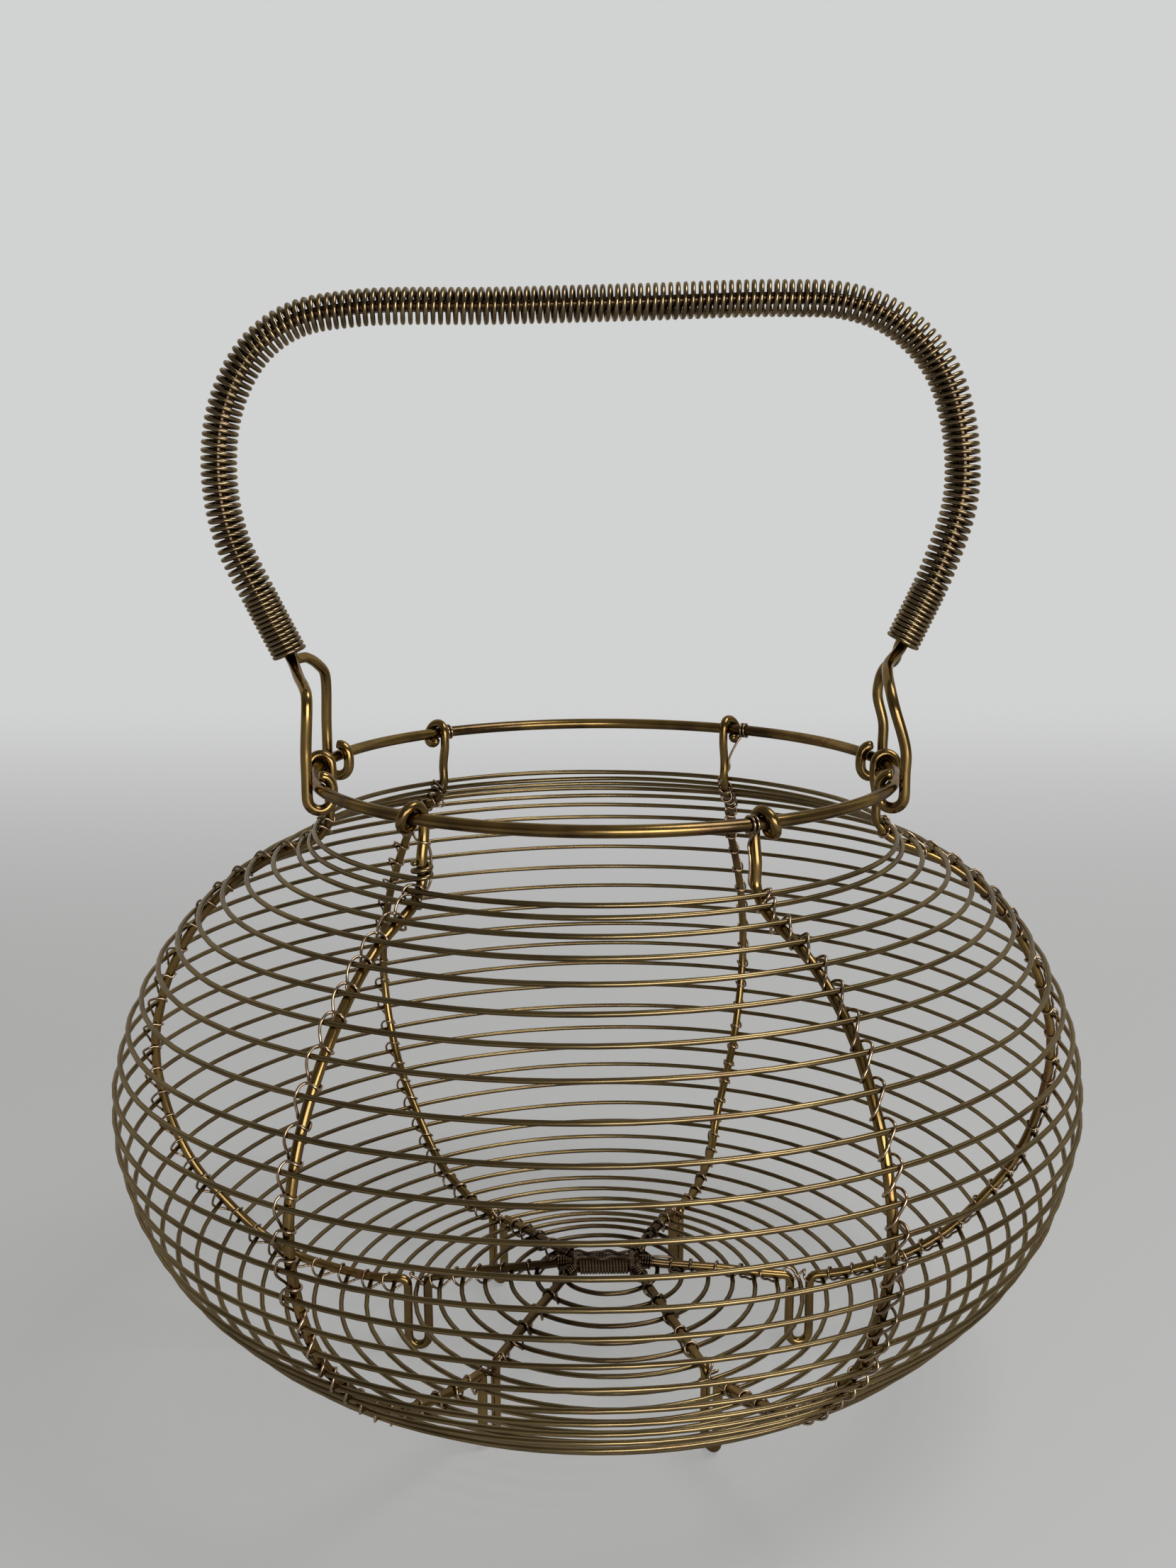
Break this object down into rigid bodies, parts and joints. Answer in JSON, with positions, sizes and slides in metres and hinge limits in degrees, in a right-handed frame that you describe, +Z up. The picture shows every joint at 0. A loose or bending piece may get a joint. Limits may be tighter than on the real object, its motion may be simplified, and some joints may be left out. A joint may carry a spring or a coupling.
{
  "type": "wire basket",
  "caption": "Round wire basket wound from one long wire over rib legs with looped feet, with a coil-wrapped bail whose eyes hang on the rim ring.",
  "frame": {"origin": "middle of the bounding box, on the surface the feet stand on", "axes": "+Z up, +X to the right of the front and along the bail's grip, -Y towards the front"},
  "size_m": [0.2518, 0.2444, 0.2889],
  "materials": {
    "rim_wire": "drawn wire under golden-brown lacquer, worn",
    "rib_wire": "drawn wire, tarnished golden brown",
    "wall_wire": "drawn wire, duller olive tan",
    "binding_wire": "fine coppery wire",
    "hub_wire": "dark brown, dull",
    "bail_wire": "drawn wire, satin",
    "grip_wire": "drawn wire, dark with gold highlights"
  },
  "bodies": {
    "basket": {"rim_ring": "rim_wire", "wall_wire_neck": "wall_wire", "wall_wire_shoulder": "wall_wire", "wall_wire_belly": "wall_wire", "wall_wire_flank": "wall_wire", "wall_wire_heel": "wall_wire", "wall_wire_base": "wall_wire", "rib_wire_front": "rib_wire", "rib_wire_middle": "rib_wire", "rib_wire_back": "rib_wire", "binding_wire_front_left": "binding_wire", "binding_wire_left": "binding_wire", "binding_wire_back_left": "binding_wire", "binding_wire_back_right": "binding_wire", "binding_wire_right": "binding_wire", "binding_wire_front_right": "binding_wire", "hub_winding": "hub_wire", "hub_tie_front": "hub_wire", "hub_tie_back": "hub_wire"},
    "bail": {"bail_strand_front": "bail_wire", "bail_strand_back": "bail_wire", "grip_coil": "grip_wire"}
  },
  "joints": [
    {"name": "bail_lift", "type": "slide", "parent": "basket", "child": "bail", "axis": [0, 0, 1], "range_m": [0, 0.0024]}
  ]
}
